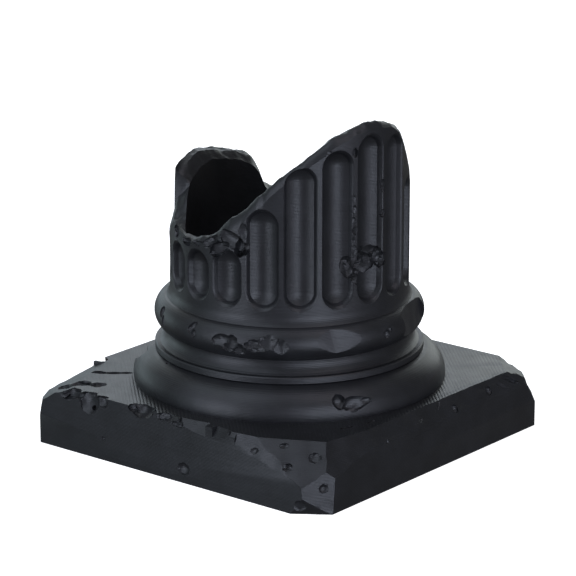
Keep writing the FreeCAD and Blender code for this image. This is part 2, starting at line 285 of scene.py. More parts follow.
def bumpNode(tree, height, amount, under=None):
    made = tree.nodes.new("ShaderNodeBump")
    made.inputs["Strength"].default_value, made.inputs["Distance"].default_value = amount
    tree.links.new(height, made.inputs["Height"])
    if under:
        tree.links.new(under, made.inputs["Normal"])
    return made.outputs[0]


def printedPlastic(name, topLines=False):
    material = bpy.data.materials.new(name)
    material.use_nodes = True
    tree = material.node_tree
    tree.nodes.clear()
    output = tree.nodes.new("ShaderNodeOutputMaterial")
    shader = tree.nodes.new("ShaderNodeBsdfPrincipled")
    tree.links.new(shader.outputs[0], output.inputs[0])
    place = tree.nodes.new("ShaderNodeTexCoord").outputs["Object"]
    parts = tree.nodes.new("ShaderNodeSeparateXYZ")
    tree.links.new(place, parts.inputs[0])
    x, y, z = parts.outputs

    # layers: rounded edges stacked upwards, a little uneven from one to the next
    unevenLayers = noiseAt(tree, place, 1.0, 1.0, (20, 20, 2600))
    wander = noiseAt(tree, place, 160, 2.0)
    turns = mathNode(tree, "MULTIPLY", z, 1 / (plastic["layer"] * mm))
    turns = mathNode(tree, "ADD", turns, mathNode(tree, "MULTIPLY", wander, plastic["layerWander"]))
    ridge = mathNode(tree, "ABSOLUTE", mathNode(tree, "SINE", mathNode(tree, "MULTIPLY", turns, math.pi)))
    layers = mathNode(
        tree, "ADD",
        mathNode(tree, "MULTIPLY", ridge, plastic["layerEdge"]),
        mathNode(tree, "MULTIPLY", unevenLayers, plastic["layerUneven"]),
    )
    relief = bumpNode(tree, layers, plastic["layerBump"])

    # soft dents of the printed skin
    relief = bumpNode(tree, noiseAt(tree, place, 900, 3.0), plastic["dentBump"], relief)

    if topLines:
        # slanting lines, on level surfaces alone
        surface = tree.nodes.new("ShaderNodeNewGeometry")
        normal = tree.nodes.new("ShaderNodeSeparateXYZ")
        tree.links.new(surface.outputs["True Normal"], normal.inputs[0])
        angle = math.radians(plastic["lineTurn"])
        across = mathNode(
            tree, "ADD",
            mathNode(tree, "MULTIPLY", x, math.cos(angle)),
            mathNode(tree, "MULTIPLY", y, math.sin(angle)),
        )
        beads = mathNode(tree, "MULTIPLY", across, math.pi / (plastic["line"] * mm))
        beads = mathNode(tree, "ABSOLUTE", mathNode(tree, "SINE", beads))
        flatTop = mathNode(tree, "GREATER_THAN", normal.outputs[2], plastic["flatFrom"])
        relief = bumpNode(tree, mathNode(tree, "MULTIPLY", beads, flatTop), plastic["lineBump"], relief)

    tint = tree.nodes.new("ShaderNodeValToRGB")
    for end, position, share in zip(tint.color_ramp.elements, (0.35, 0.7), (plastic["darkest"], plastic["lightest"])):
        end.position = position
        end.color = [part * share for part in plastic["base"]] + [1]
    tree.links.new(noiseAt(tree, place, 260, 3.0), tint.inputs[0])
    tree.links.new(tint.outputs[0], shader.inputs["Base Color"])

    sheen = tree.nodes.new("ShaderNodeMapRange")
    sheen.inputs["To Min"].default_value = plastic["roughness"] - plastic["glossier"]
    sheen.inputs["To Max"].default_value = plastic["roughness"] + plastic["duller"]
    tree.links.new(noiseAt(tree, place, 420, 2.0), sheen.inputs[0])
    tree.links.new(sheen.outputs[0], shader.inputs["Roughness"])
    shader.inputs["IOR"].default_value = plastic["refraction"]
    tree.links.new(relief, shader.inputs["Normal"])
    return material


wallPlastic = printedPlastic("black_plastic_walls")
plinthPlastic = printedPlastic("black_plastic_plinth", topLines=True)
print("materials made")


# joints between the pieces
joint = {"spigotRadius": 9.0, "spigotLength": 1.5, "chamfer": 0.3, "clearance": 0.15, "gap": 0.3}


def spigotFoot(foot, outside):
    # starts a turned piece with its spigot: foot is the height that the spigot stands in
    low = foot - joint["spigotLength"]
    radius = joint["spigotRadius"]
    return [(radius - joint["chamfer"], low), (radius, low + joint["chamfer"]), (radius, foot), (outside, foot)]


def socketHead(top):
    # ends a turned piece with the socket for the next one's spigot
    radius = joint["spigotRadius"] + joint["clearance"]
    floor = top - joint["spigotLength"] - joint["gap"]
    return [(radius, top), (radius, floor)]


# large ring
largeRing = {
    "foot": (21.95, 9.1), "head": (18.4, 13.5), "bulge": 1.25, "arcSteps": 36, "segments": 256, "smooth": 32,
    # chips: angle, height, half width, half height, depth, turn, roughness, seed
    "chips": [
        (-32.6, 11.6, 1.0, 1.25, 1.1, 30, 0.08, 3), (-28.0, 11.3, 2.2, 1.25, 0.75, -6, 0.2, 9),
        (-23.2, 11.35, 1.3, 0.6, 0.5, 0, 0.06, 8),
        (-139.0, 12.4, 1.9, 1.2, 0.9, 30, 0.1, 5), (-112.9, 13.4, 0.4, 0.3, 0.3, 0, 0.06, 6),
    ],
    "flat": {"angle": -156, "lean": 35, "out": 20.65, "height": 9.1, "wide": 11, "tall": 11, "lumps": 0.12, "seed": 2},
    "flatCuts": 14,
}
chipLean = 1.6      # how fast the chips turn up or down with the bulge of a ring


def ringStations(foot, profile, head):
    return spigotFoot(foot, profile[0][0]) + profile + socketHead(head)


def ringRadius(profile, height):
    # outside radius of a turned profile at a height
    return min(profile, key=lambda point: abs(point[1] - height))[0]


def outward(angle, rise=0.0):
    turn = math.radians(angle)
    return Vector((math.cos(turn), math.sin(turn), rise))


def ringChips(profile, chips):
    stones = []
    middle = (profile[0][1] + profile[-1][1]) / 2
    tall = profile[-1][1] - profile[0][1]
    for angle, height, half, halfTall, depth, turn, rough, seed in chips:
        radius = ringRadius(profile, height)
        place = outward(angle) * radius + Vector((0, 0, height))
        facing = outward(angle, chipLean * (height - middle) / tall)
        stones.append(stoneCutter(place, (half, halfTall, depth), facing, turn, rough, seed))
    return stones


def flatChip(flat, cuts):
    place = outward(flat["angle"]) * flat["out"] + Vector((0, 0, flat["height"]))
    facing = outward(flat["angle"], math.tan(math.radians(flat["lean"])))
    return roughSlab(place, facing, flat["wide"], flat["tall"], flat["lumps"], flat["seed"], cuts)


profile = bow(largeRing["foot"], largeRing["head"], largeRing["bulge"], largeRing["arcSteps"])
stations = ringStations(largeRing["foot"][1], profile, largeRing["head"][1])
lowerTorus = turnedPiece("large_ring", stations, largeRing["segments"])
stones = ringChips(profile, largeRing["chips"])
stones.append(flatChip(largeRing["flat"], largeRing["flatCuts"]))
cutAway(lowerTorus, joinAll(stones, "stones"))
finishPiece(lowerTorus, "lower_torus", wallPlastic, largeRing["smooth"])
print("large ring done")


# hollow ring between the two round ones
hollowRing = {
    "band": [(18.75, 13.5), (18.9, 13.65), (18.9, 14.35), (18.75, 14.5)],
    "waist": ((18.2, 14.5), (17.3, 16.5)), "bulge": -0.35, "arcSteps": 10, "segments": 256, "smooth": 32,
}
profile = hollowRing["band"] + bow(*hollowRing["waist"], hollowRing["bulge"], hollowRing["arcSteps"])
stations = ringStations(hollowRing["band"][0][1], profile, hollowRing["waist"][1][1])
scotia = turnedPiece("hollow_ring", stations, hollowRing["segments"])
finishPiece(scotia, "scotia", wallPlastic, hollowRing["smooth"])
print("hollow ring done")


# small ring
smallRing = {
    "foot": (17.4, 16.5), "head": (17.5, 21.1), "bulge": 1.5, "arcSteps": 36, "segments": 256, "smooth": 32,
    "chips": [
        (-122.0, 20.0, 0.75, 0.9, 0.55, 40, 0.08, 11), (-118.3, 19.0, 0.5, 0.9, 0.45, 10, 0.08, 19),
        (-96.3, 20.0, 0.5, 1.1, 0.5, -35, 0.06, 12), (-94.6, 19.2, 0.45, 0.6, 0.4, 0, 0.06, 10),
        (-80.5, 19.1, 1.5, 1.0, 0.6, 0, 0.14, 13), (-76.3, 18.7, 1.2, 1.6, 0.75, -25, 0.2, 21),
        (-72.6, 18.1, 1.2, 0.9, 0.6, -30, 0.18, 22),
        (-65.5, 18.8, 1.7, 1.0, 0.45, 0, 0.2, 14), (-59.8, 19.4, 1.9, 1.4, 0.45, 10, 0.26, 15),
        (-54.6, 18.9, 1.2, 1.3, 0.45, 0, 0.2, 16),
        (-6.5, 19.0, 0.6, 0.7, 0.4, 0, 0.08, 17), (-4.0, 19.5, 0.35, 0.35, 0.3, 0, 0.08, 18),
    ],
    # a chip of two flat faces that meet in a valley: angles of its left end, valley and right end
    "wedge": {
        "left": -37.5, "valley": -32.0, "right": -19.2, "radius": 18.95, "depth": 0.55, "height": 18.8,
        "slant": 10, "tip": 12, "reach": 2.2, "long": 8,
    },
    "flat": {"angle": 20, "lean": 12, "out": 17.95, "height": 18.8, "wide": 9, "tall": 7, "lumps": 0.1, "seed": 4},
    "flatCuts": 14,
}


def wedgeCutter(wedge):
    # three-sided bar whose inner edge is the valley
    valley = outward(wedge["valley"]) * (wedge["radius"] - wedge["depth"])
    corners = [valley]
    for side in ("left", "right"):
        corners.append(valley + (outward(wedge[side]) * wedge["radius"] - valley) * wedge["reach"])
    deselectAll()
    bpy.ops.mesh.primitive_circle_add(vertices=3, radius=1, fill_type="NGON")
    bar = bpy.context.object
    for vertex, corner in zip(bar.data.vertices, corners):
        vertex.co = corner
    bpy.ops.object.mode_set(mode="EDIT")
    bpy.ops.mesh.select_all(action="SELECT")
    bpy.ops.mesh.extrude_region_move(TRANSFORM_OT_translate={"value": (0, 0, wedge["long"])})
    bpy.ops.mesh.select_all(action="SELECT")
    bpy.ops.mesh.normals_make_consistent(inside=False)
    bpy.ops.object.mode_set(mode="OBJECT")
    pivot = Matrix.Translation(valley)
    lean = Matrix.Rotation(math.radians(wedge["slant"]), 4, outward(wedge["valley"]))
    lean = lean @ Matrix.Rotation(math.radians(-wedge["tip"]), 4, outward(wedge["valley"] + 90))
    turned = Matrix.Translation((0, 0, wedge["height"])) @ pivot @ lean
    bar.matrix_world = turned @ Matrix.Translation((0, 0, -wedge["long"] / 2)) @ pivot.inverted()
    applyPlace(bar)
    return bar


profile = bow(smallRing["foot"], smallRing["head"], smallRing["bulge"], smallRing["arcSteps"])
stations = ringStations(smallRing["foot"][1], profile, smallRing["head"][1])
upperTorus = turnedPiece("small_ring", stations, smallRing["segments"])
stones = ringChips(profile, smallRing["chips"])
stones.append(flatChip(smallRing["flat"], smallRing["flatCuts"]))
stones.append(wedgeCutter(smallRing["wedge"]))
cutAway(upperTorus, joinAll(stones, "stones"))
finishPiece(upperTorus, "upper_torus", wallPlastic, smallRing["smooth"])
print("small ring done")


# broken fluted shaft
shaft = {
    "radius": 16.75, "flare": (17.25, 21.1), "flareTop": 22.4, "flareHollow": -0.12,
    "flareSteps": 8, "blankTop": 50.0, "segments": 320, "smooth": 26,
    "fluteTurn": 8.25, "fluteStep": 18, "chord": 16.59, "fluteFoot": 25.65,
    # outline of a flute from the middle of its floor to past its lip: half width, height over its lips
    "floorDepth": 1.38, "floorHalf": 1.86, "floorRise": 0.66, "floorStart": 0.06, "floorSteps": 10,
    "wall": [(2.12, -0.22), (2.2, -0.1), (2.4, 0.02), (2.55, 0.16), (2.62, 0.4), (2.62, 1.6)],
    "ringSteps": 48,
    # height of the middle of each flute's round top, anticlockwise from the one right of the tall front
    "fluteTops": [
        43.6, 36.4, 31.0, 29.0, 27.5, 27.3, 27.2, 27.4, 32.8, 34.3,
        34.4, 27.2, 27.4, 27.8, 27.9, 28.9, 34.9, 40.9, 42.8, 44.4,
    ],
}
# broken rim, anticlockwise: angle, height of the inner edge, of the crest and of the outer edge
rimLine = [
    (-156, 35.3, 34.0, 31.8), (-152, 34.2, 32.6, 31.0), (-147, 32.2, 31.3, 30.4), (-143, 31.4, 30.8, 30.1),
    (-140, 31.0, 30.6, 30.0), (-137, 31.0, 30.6, 30.1), (-131, 30.4, 30.9, 30.8), (-127, 30.2, 31.6, 32.0),
    (-124, 30.2, 31.9, 32.7), (-120, 30.2, 31.8, 32.8), (-116, 30.4, 31.5, 32.4), (-112, 30.7, 31.6, 31.9),
    (-107, 31.1, 31.6, 31.2), (-101, 31.7, 32.0, 31.2), (-97, 32.0, 32.3, 31.3), (-91, 32.6, 32.8, 31.6),
    (-87, 33.2, 33.6, 32.2), (-85, 33.9, 34.3, 32.6), (-80.6, 35.2, 35.6, 33.8), (-76.4, 35.9, 36.4, 34.6),
    (-72, 36.9, 37.3, 35.7), (-67, 38.2, 38.7, 37.0), (-63, 39.1, 39.6, 38.0), (-60, 40.0, 40.6, 39.2),
    (-57, 41.0, 41.4, 40.0), (-54.6, 41.4, 41.9, 40.6), (-49.7, 42.4, 42.9, 41.7), (-44.8, 43.2, 43.8, 42.6),
    (-39.8, 44.3, 44.9, 43.7), (-34.8, 45.2, 45.8, 44.6), (-29.6, 46.2, 46.8, 45.7), (-24.2, 46.8, 47.4, 46.4),
    (-18.5, 47.3, 47.9, 47.0), (-12.4, 47.6, 48.3, 47.4), (-9.1, 47.7, 48.4, 47.5), (-5.6, 47.6, 48.3, 47.5),
    (-1.8, 47.5, 48.1, 47.4), (2.3, 47.2, 47.9, 47.2), (6.9, 46.7, 47.4, 46.8), (12.3, 46.1, 46.8, 45.9),
    (17.9, 45.4, 45.9, 43.9), (21.1, 44.9, 44.9, 42.6), (25.3, 43.6, 43.3, 41.1), (30, 41.5, 41.2, 39.4),
    (33, 39.5, 39.0, 37.9), (38, 38.0, 37.6, 37.0), (49, 35.8, 35.5, 35.0), (62, 34.0, 33.8, 33.4),
    (79, 32.4, 32.3, 31.9), (95, 32.2, 32.1, 31.7), (110, 31.9, 31.9, 31.6), (124, 31.7, 31.8, 31.6),
    (135, 31.6, 31.8, 31.7), (139, 31.8, 32.1, 32.1), (142.7, 32.6, 32.8, 32.8), (145.2, 34.0, 34.8, 35.1),
    (147.8, 35.1, 36.2, 36.6), (150.4, 35.9, 37.0, 37.3), (153, 36.4, 37.4, 37.7), (158.5, 36.9, 37.8, 38.0),
    (164, 37.2, 38.2, 38.5), (170, 37.5, 38.5, 38.8), (177, 37.75, 38.8, 39.0), (183, 37.6, 38.9, 39.1),
    (189, 37.0, 38.7, 38.9), (194, 36.7, 38.2, 38.5), (200, 36.0, 37.2, 37.9), (202.8, 35.7, 36.4, 37.6),
    (203.5, 35.5, 34.6, 32.3), (204, 35.3, 34.0, 31.8),
]
# edges' distances from the axis, how far the outer slope runs on, the top of the part, lumps' scale and height
rim = {
    "radii": (14.45, 15.75, 16.75), "runOn": 1.3, "highest": 48.45,
    "coarse": (0.55, 0.22), "fine": (1.5, 0.14),
}
# core of the shaft: its pit and ramp lie along one line, measured from the axis
hollow = {
    "wall": 14.3, "turn": 19.0, "pitFloor": 25.0, "pitFoot": -6.5, "rampFoot": 1.5, "rampLow": 32.0, "rampHigh": 34.0,
    "reach": 15.3, "grainScale": 0.35, "grainHeight": 0.5, "wallScale": 0.3, "wallWander": 0.25, "wallZone": (14, 15),
}
# net of the break: distances of its rings from the axis, and the height that it closes at
breakNet = {
    "radii": [
        1.2, 2.4, 3.6, 4.8, 6, 7.2, 8.4, 9.6, 10.8, 12, 13, 13.8, 14.1, 14.46, 14.8, 15.1, 15.4, 15.75,
        16.0, 16.25, 16.5, 16.75, 17.1, 18.5,
    ],
    "level": 40, "close": 60, "segments": 360,
}
# bites of the shaft: angle, height, out from the axis, half width, half height, depth, turn, roughness, seed
shaftChips = [
    (-86.0, 31.2, 16.5, 1.7, 1.2, 1.3, 20, 0.12, 31), (-83.5, 30.0, 16.6, 0.8, 1.0, 0.9, 0, 0.12, 32),
    (-79.0, 32.8, 16.8, 2.3, 1.3, 0.8, -20, 0.16, 33), (-74.2, 31.7, 16.2, 1.1, 1.4, 1.5, 0, 0.1, 34),
    (-91.0, 32.0, 16.7, 1.7, 0.8, 0.8, 25, 0.15, 35), (-72.0, 34.2, 17.0, 1.0, 1.3, 0.6, 0, 0.14, 36),
    (-21.3, 28.7, 16.2, 1.6, 1.8, 1.3, 20, 0.1, 41), (-15.5, 29.4, 15.9, 1.5, 1.6, 1.2, 0, 0.16, 42),
    (-8.0, 30.0, 16.0, 2.2, 1.2, 1.2, -10, 0.16, 43), (-3.0, 29.0, 16.3, 1.3, 1.2, 1.2, -30, 0.14, 44),
    (-17.0, 26.9, 16.5, 1.1, 0.9, 0.9, -30, 0.12, 45), (-12.8, 28.8, 16.2, 2.7, 1.7, 1.7, 5, 0.2, 47),
    (-12.5, 28.0, 15.9, 1.4, 0.8, 0.7, 20, 0.2, 46),
    (-19.8, 31.2, 16.9, 0.6, 0.8, 0.5, 0, 0.16, 51), (-20.4, 32.6, 16.9, 0.5, 0.6, 0.4, 0, 0.16, 52),
    (-19.3, 33.9, 16.9, 0.6, 0.7, 0.45, 0, 0.16, 53), (-20.2, 35.3, 16.9, 0.45, 0.6, 0.4, 0, 0.16, 54),
    (-19.4, 36.8, 16.9, 0.45, 0.8, 0.4, 0, 0.16, 55), (-20.0, 38.4, 16.9, 0.35, 0.7, 0.35, 0, 0.16, 56),
    (-19.2, 44.7, 16.7, 0.5, 0.75, 0.45, 0, 0.1, 58),
    (-1.6, 39.3, 16.7, 0.4, 1.1, 0.45, 0, 0.12, 61), (-1.9, 35.4, 16.7, 0.55, 0.6, 0.5, 0, 0.12, 62),
    (-48.6, 41.6, 16.7, 0.65, 0.6, 0.7, 0, 0.1, 71), (-46.0, 42.1, 16.6, 0.7, 0.6, 0.7, 20, 0.1, 72),
    (-54.0, 41.2, 17.0, 0.9, 0.45, 0.4, -30, 0.15, 73), (-34.0, 45.4, 16.9, 1.0, 0.4, 0.35, -25, 0.15, 74),
    (-118.5, 31.6, 16.8, 1.0, 1.1, 0.6, 20, 0.15, 75), (-108.0, 30.9, 16.8, 1.3, 0.6, 0.6, 0, 0.16, 76),
    (-98.0, 31.3, 16.9, 1.6, 0.5, 0.5, 0, 0.16, 77),
    (160.0, 33.0, 17.0, 1.0, 1.4, 0.7, 0, 0.15, 81), (100.0, 28.0, 17.0, 1.5, 1.2, 0.8, 0, 0.15, 82),
    (64.0, 30.5, 17.0, 1.2, 1.5, 0.8, 30, 0.15, 83),
]


def rimAt(angle):
    # heights of the three edges of the rim, straight between the places of rimLine
    start = rimLine[0][0]
    angle = (angle - start) % 360 + start
    for before, after in zip(rimLine, rimLine[1:]):
        if before[0] <= angle <= after[0]:
            share = (angle - before[0]) / (after[0] - before[0])
            return [low + share * (high - low) for low, high in zip(before[1:], after[1:])]
    return rimLine[0][1:]


def hollowFloor(x, y):
    # pit, slope up and ramp, one after the other
    turn = math.radians(hollow["turn"])
    along = x * math.cos(turn) + y * math.sin(turn)
    if along < hollow["pitFoot"]:
        return hollow["pitFloor"]
    if along < hollow["rampFoot"]:
        share = (along - hollow["pitFoot"]) / (hollow["rampFoot"] - hollow["pitFoot"])
        return hollow["pitFloor"] + share * (hollow["rampLow"] - hollow["pitFloor"])
    share = (along - hollow["rampFoot"]) / (hollow["reach"] - hollow["rampFoot"])
    return hollow["rampLow"] + share * (hollow["rampHigh"] - hollow["rampLow"])


def breakHeight(x, y, radius):
    # height of the break at a place: floor of the hollow, then the broken top of the wall
    if radius < hollow["wall"]:
        grain = noise.fractal(Vector((x, y, 3.0)) * hollow["grainScale"], 0.9, 2.1, 4)
        return hollowFloor(x, y) + grain * hollow["grainHeight"]
    inner, crest, outer = rimAt(math.degrees(math.atan2(y, x)))
    innerEdge, crestLine, outerEdge = rim["radii"]
    if radius < crestLine:
        share = max(0.0, (radius - innerEdge) / (crestLine - innerEdge))
        height = inner + share * (crest - inner)
    else:
        share = min(rim["runOn"], (radius - crestLine) / (outerEdge - crestLine))
        height = crest + share * share * (outer - crest)
    (coarseScale, coarseHeight), (fineScale, fineHeight) = rim["coarse"], rim["fine"]
    lumps = noise.noise(Vector((x, y, 1.0)) * coarseScale) * coarseHeight
    lumps += noise.noise(Vector((x, y, 5.0)) * fineScale) * fineHeight
    return min(height + lumps, rim["highest"])


# blank of the shaft
profile = bow(shaft["flare"], (shaft["radius"], shaft["flareTop"]), shaft["flareHollow"], shaft["flareSteps"])
stations = spigotFoot(shaft["flare"][1], profile[0][0]) + profile + [(shaft["radius"], shaft["blankTop"])]
flutedShaft = turnedPiece("broken_shaft", stations, shaft["segments"])


# one flute as a turned button, whose upper half is then drawn up to the flute's own height
halfFlute = []
for step in range(shaft["floorSteps"] + 1):
    across = shaft["floorStart"] + (shaft["floorHalf"] - shaft["floorStart"]) * step / shaft["floorSteps"]
    halfFlute.append((across, shaft["floorRise"] * (across / shaft["floorHalf"]) ** 2 - shaft["floorDepth"]))
halfFlute += shaft["wall"]
button = turnedPiece("flute", halfFlute, shaft["ringSteps"])
halfStep = Matrix.Rotation(math.pi / shaft["ringSteps"], 4, "Z")
button.matrix_world = Matrix.Rotation(math.radians(90), 4, "Y") @ halfStep
applyPlace(button)
cutters = []
for number, top in enumerate(shaft["fluteTops"]):
    flute = copyOf(button)
    for vertex in flute.data.vertices:
        if vertex.co.z > 0:
            vertex.co.z += top - shaft["fluteFoot"]
    turn = math.radians(shaft["fluteTurn"] + number * shaft["fluteStep"])
    flute.matrix_world = Matrix.Rotation(turn, 4, "Z") @ Matrix.Translation((shaft["chord"], 0, shaft["fluteFoot"]))
    applyPlace(flute)
    cutters.append(flute)
bpy.data.objects.remove(button)
cutAway(flutedShaft, joinAll(cutters, "flutes"), False)
print("flutes cut")

# the break: a ring net whose heights follow the rim, closed far above the shaft
stations = [(radius, breakNet["level"]) for radius in breakNet["radii"]]
stations.append((breakNet["radii"][-1], breakNet["close"]))
breakCutter = turnedPiece("break", stations, breakNet["segments"])
for vertex in breakCutter.data.vertices:
    if vertex.co.z < (breakNet["level"] + breakNet["close"]) / 2:
        x, y = vertex.co.x, vertex.co.y
        radius = math.hypot(x, y)
        vertex.co.z = breakHeight(x, y, radius)
        if hollow["wallZone"][0] < radius < hollow["wallZone"][1]:
            wander = 1 + noise.noise(Vector((x, y, 8)) * hollow["wallScale"]) * hollow["wallWander"] / radius
            vertex.co.x *= wander
            vertex.co.y *= wander
makeActive(breakCutter)
bpy.ops.object.mode_set(mode="EDIT")
bpy.ops.mesh.select_all(action="SELECT")
bpy.ops.mesh.normals_make_consistent(inside=False)
bpy.ops.object.mode_set(mode="OBJECT")
cutAway(flutedShaft, breakCutter, False)
print("break cut")
stones = []
for angle, height, out, half, tall, depth, turn, rough, seed in shaftChips:
    place = outward(angle) * out + Vector((0, 0, height))
    stones.append(stoneCutter(place, (half, tall, depth), outward(angle), turn, rough, seed))
cutAway(flutedShaft, joinAll(stones, "stones"))
finishPiece(flutedShaft, "fluted_shaft", wallPlastic, shaft["smooth"])
print("shaft done")


# plinth
plinth = {
    "side": 50.0, "height": 9.1, "corner": 0.15, "cornerSteps": 3, "smooth": 32,
    "socket": [(9.15, 7.3), (9.15, 12)], "socketSegments": 128,
    # cuts across a broken face, for one wider than longFrom, and across an edge chip
    "cuts": 20, "longFrom": 40, "longCuts": 60, "chipCuts": 10, "chipLumps": 0.06,
    # broken faces: three places on each, width, height, lumps, seed
    "faces": [
        ((12.5, -25, 7.05), (19, -25, 5.1), (14.5, -24.1, 9.1), 9, 12, 0.08, 1),
        ((16.4, -23, 9.1), (22.6, -19.8, 9.1), (21.8, -25, 4.2), 20, 16, 0.16, 9),
        ((22.4, -25, 2.6), (25, -21.7, 0.4), (25, -21.25, 4.5), 12, 14, 0.12, 3),
        ((20.35, -25.02, -0.03), (25.04, -21.75, -0.02), (22.6, -25.01, 2.75), 15, 11, 0.07, 22),
        ((25, -21.25, 5.0), (25, -12.9, 7.1), (22.6, -18.5, 9.1), 22, 10, 0.1, 4),
        ((25, -25, 6.9), (25, 25, 6.7), (23.6, 0, 9.1), 60, 6, 0.16, 5),
        ((-25, -22.3, 7.3), (-25, -14.8, 8.3), (-21, -25, 8.3), 14.2, 16, 0.12, 6),
        ((-25, -23.1, 7.2), (-25, -21.8, 8.0), (-23.1, -25, 7.2), 12, 10, 0.08, 7),
        ((-25, -25, 3.5), (-25, -24.3, 6.5), (-24.3, -25, 6.5), 8, 10, 0.05, 10),
        ((18.3, 25, 9.1), (22.6, 25, 7.5), (23.8, 19.5, 9.1), 16, 14, 0.25, 8),
        ((22.6, 25, 7.5), (23.7, 25, 5.6), (25, 22.5, 7.0), 10, 12, 0.15, 11),
    ],
    # flat chips of the edge over the left face: middle, facing, width, height, seed
    "edgeFlats": [
        ((3.4, -25, 7.9), (0.1, -0.74, 0.62), 4.6, 4, 11), ((8.2, -25, 7.95), (-0.1, -0.8, 0.6), 2.6, 4, 12),
        ((-0.6, -25, 8.4), (-0.2, -0.7, 0.7), 2.6, 4, 13), ((11.3, -25, 8.4), (0.1, -0.75, 0.65), 2.8, 4, 14),
    ],
    # bites: place, half width, half height, depth, facing, turn, roughness, seed
    "bites": [
        ((-25, -12.2, 8.6), (1.1, 1.3, 1.8), (-1, 0, 0.6), 0, 0.08, 101),
        ((-19.2, -15.9, 9.1), (1.6, 0.5, 0.8), (0, 0, 1), 38, 0.05, 102),
        ((-17.8, -14.7, 9.1), (1.0, 0.45, 0.7), (0, 0, 1), 38, 0.05, 103),
        ((-20.9, -16.9, 9.0), (1.3, 0.7, 0.8), (0, 0, 1), 20, 0.12, 104),
        ((-21.9, -22.9, 8.35), (1.7, 1.0, 0.9), (-0.2, -0.2, 1), 20, 0.2, 105),
        ((-19.7, -22.0, 8.9), (1.8, 1.3, 1.1), (-0.1, -0.2, 1), 40, 0.22, 106),
        ((-17.3, -21.2, 9.1), (1.4, 1.0, 1.0), (0, -0.1, 1), 40, 0.2, 107),
        ((-18.6, -24.8, 8.5), (2.0, 1.0, 0.9), (0, -1, 0.7), 10, 0.2, 108),
        ((-15.4, -25, 7.9), (1.9, 1.9, 1.0), (0, -1, 0.4), 0, 0.12, 109),
        ((-13.2, -24.9, 8.5), (1.4, 1.1, 0.8), (0, -1, 0.6), 0, 0.12, 110),
        ((-15.1, -24.3, 7.0), (0.4, 0.4, 0.7), (0, -1, 0.2), 0, 0.03, 111),
        ((-6.0, -24.6, 8.9), (2.1, 1.5, 1.1), (0, -0.8, 1), 0, 0.14, 113),
        ((-7.6, -24.6, 8.8), (0.8, 0.7, 0.8), (0, -0.8, 1), 0, 0.12, 115),
        ((-4.0, -24.6, 8.9), (0.7, 0.6, 0.8), (0, -0.8, 1), 0, 0.12, 116),
        ((-1.8, -24.9, 8.8), (1.3, 0.7, 0.6), (0, -0.8, 0.7), 20, 0.16, 117),
        ((0.8, -25.0, 8.2), (1.1, 0.6, 0.4), (0, -1, 0.5), 0, 0.16, 118),
        ((1.8, -25.0, 2.1), (1.15, 0.9, 0.6), (0, -1, 0), 15, 0.07, 120),
        ((-12.9, -25.0, 3.2), (0.4, 0.3, 0.3), (0, -1, 0), 0, 0.06, 122),
        ((14.1, -24.9, 7.4), (0.75, 0.5, 0.4), (0.1, -0.9, 0.3), 20, 0.08, 123),
        ((17.7, -22.9, 8.3), (0.75, 0.45, 0.4), (0.35, -0.68, 0.66), 0, 0.08, 124),
        ((19.3, -24.2, 5.9), (0.9, 0.75, 0.5), (0.35, -0.68, 0.66), 0, 0.1, 125),
        ((22.0, -21.9, 7.4), (0.95, 0.8, 0.6), (0.4, -0.66, 0.6), 0, 0.12, 126),
        ((24.3, -22.7, 3.7), (0.75, 0.75, 0.6), (0.8, -0.6, 0), 0, 0.06, 127),
        ((21.9, -24.9, 1.2), (1.1, 1.1, 0.6), (0.5, -0.85, -0.1), 0, 0.08, 128),
        ((24.6, 6.0, 7.4), (0.55, 0.7, 0.5), (1, 0, 0.5), 0, 0.06, 131),
        ((24.4, 14.2, 7.8), (0.8, 0.7, 0.5), (1, 0, 0.6), 0, 0.1, 132),
        ((24.6, -1.5, 7.9), (0.4, 0.5, 0.35), (1, 0, 0.6), 0, 0.08, 133),
        ((25.0, -9.8, 7.0), (0.4, 0.35, 0.3), (1, 0, 0.3), 0, 0.08, 134),
        ((24.3, 2.6, 8.3), (1.4, 0.3, 0.3), (1, 0, 0.8), 40, 0.08, 135),
        ((20.9, -13.5, 9.15), (1.2, 0.35, 0.3), (0, 0, 1), 70, 0.12, 137),
        ((22.0, -9.6, 9.15), (1.0, 0.3, 0.3), (0, 0, 1), 85, 0.12, 138),
        ((24.6, 17.2, 8.0), (2.3, 0.5, 0.5), (1, 0.2, 0.9), -38, 0.12, 141),
        ((24.3, 19.4, 8.2), (2.1, 0.5, 0.45), (1, 0.3, 0.9), -38, 0.12, 142),
        ((-25, 8.0, 8.7), (1.6, 0.9, 0.6), (-1, 0, 0.6), 0, 0.14, 145),
        ((4.0, 25, 8.8), (2.0, 0.9, 0.6), (0, 1, 0.7), 0, 0.14, 146),
    ],
}
deselectAll()
bpy.ops.mesh.primitive_cube_add(size=1)
plinthBlock = bpy.context.object
plinthBlock.name = plinthBlock.data.name = "plinth_block"
blockSize = Matrix.Diagonal((plinth["side"], plinth["side"], plinth["height"], 1))
plinthBlock.matrix_world = blockSize @ Matrix.Translation((0, 0, 0.5))
applyPlace(plinthBlock)
bpy.ops.object.mode_set(mode="EDIT")
bpy.ops.mesh.select_mode(type="EDGE")
bpy.ops.mesh.select_all(action="DESELECT")
bpy.ops.object.mode_set(mode="OBJECT")
for edge in plinthBlock.data.edges:
    ends = [plinthBlock.data.vertices[index].co for index in edge.vertices]
    edge.select = abs(ends[0].z - ends[1].z) > 1      # only the four upright edges
bpy.ops.object.mode_set(mode="EDIT")
bpy.ops.mesh.bevel(offset=plinth["corner"], segments=plinth["cornerSteps"])
bpy.ops.mesh.select_mode(type="VERT")
bpy.ops.object.mode_set(mode="OBJECT")
cutAway(plinthBlock, turnedPiece("socket", plinth["socket"], plinth["socketSegments"]), False)
